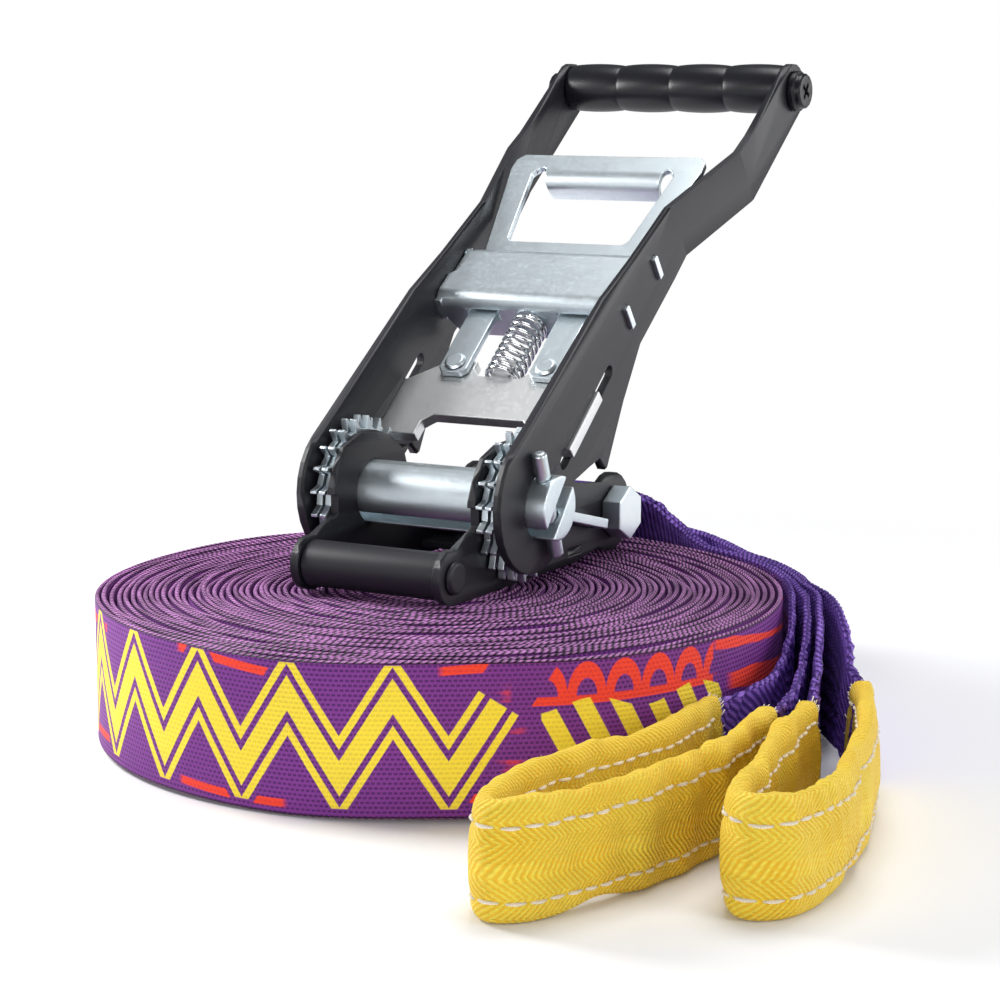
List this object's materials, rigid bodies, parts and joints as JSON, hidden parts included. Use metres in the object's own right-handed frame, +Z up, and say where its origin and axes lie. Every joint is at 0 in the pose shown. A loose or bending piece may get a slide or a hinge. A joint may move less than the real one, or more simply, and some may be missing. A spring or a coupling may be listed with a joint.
{
  "type": "slackline",
  "caption": "Slackline kit: flat webbing coil with sewn loop ends and protective sleeves, and a long-lever tensioning ratchet lying on it.",
  "frame": {"origin": "on the ground, under the middle of the whole kit as it is stored", "axes": "+Z up, +X along the ratchet spindle towards the hex bolt head, +Y from the spindle towards the anchor bolt and the raised grip"},
  "size_m": [0.3062, 0.378, 0.2246],
  "materials": {
    "purple_webbing": "woven polyester webbing, matt",
    "yellow_sleeve": "woven tubular webbing, matt",
    "black_coat": "satin black powder coat",
    "black_grip": "moulded, slightly soft",
    "zinc": "bright bluish zinc plating",
    "satin_steel": "satin plated steel",
    "spring_steel": "drawn spring wire and strip"
  },
  "bodies": {
    "kit": {"anchor_bolt": "zinc", "anchor_nut": "zinc", "anchor_sleeve": "zinc", "frame_floor": "black_coat", "frame_plate_left": "black_coat", "frame_plate_right": "black_coat", "front_bar": "black_coat", "line_leg_inner": "purple_webbing", "line_leg_outer": "purple_webbing", "line_loop_sleeve": "yellow_sleeve", "line_tail": "purple_webbing", "lock_spring": "spring_steel", "ratchet_loop_sleeve": "yellow_sleeve", "ratchet_strap": "purple_webbing", "strap_eye": "purple_webbing", "strap_leg_inner": "purple_webbing", "strap_leg_outer": "purple_webbing", "webbing_coil": "purple_webbing"},
    "lock_pawl": {"lock_pawl": "zinc"},
    "spindle": {"ratchet_wheel_left_inner": "zinc", "ratchet_wheel_left_outer": "zinc", "ratchet_wheel_right_inner": "zinc", "ratchet_wheel_right_outer": "zinc", "spindle_half_lower": "zinc", "spindle_half_upper": "zinc", "spindle_pin_left": "zinc", "spindle_pin_right": "zinc", "wheel_spacer_left": "zinc", "wheel_spacer_right": "zinc", "wheel_washer_left": "zinc", "wheel_washer_right": "zinc"},
    "handle": {"bridge_plate": "zinc", "drive_spring": "spring_steel", "grip_rod": "satin_steel", "grip_screw_left": "black_grip", "grip_screw_right": "black_grip", "handle_grip": "black_grip", "handle_plate_left": "black_coat", "handle_plate_right": "black_coat"},
    "drive_pawl": {"drive_pawl": "satin_steel", "release_lever": "zinc", "pawl_rivet_left": "zinc", "pawl_rivet_right": "zinc"}
  },
  "joints": [
    {"name": "handle_swing", "type": "hinge", "parent": "kit", "child": "handle", "pos_m": [-0.04338, -0.00699, 0.07843], "axis": [1, 0, 0], "range_deg": [-18, 144]},
    {"name": "spindle_spin", "type": "hinge", "parent": "kit", "child": "spindle", "pos_m": [-0.04338, -0.00699, 0.07843], "axis": [1, 0, 0], "continuous": true},
    {"name": "drive_pawl_slide", "type": "slide", "parent": "handle", "child": "drive_pawl", "axis": [0, 0.7716, 0.6361], "range_m": [-0.0028, 0.008], "stiffness_N_per_m": 500, "springref_m": -0.01, "deforming": ["drive_spring"]},
    {"name": "lock_pawl_slide", "type": "slide", "parent": "kit", "child": "lock_pawl", "axis": [0, 0.9703, -0.2419], "range_m": [-0.0028, 0.005], "stiffness_N_per_m": 500, "springref_m": -0.01, "deforming": ["lock_spring"]}
  ]
}
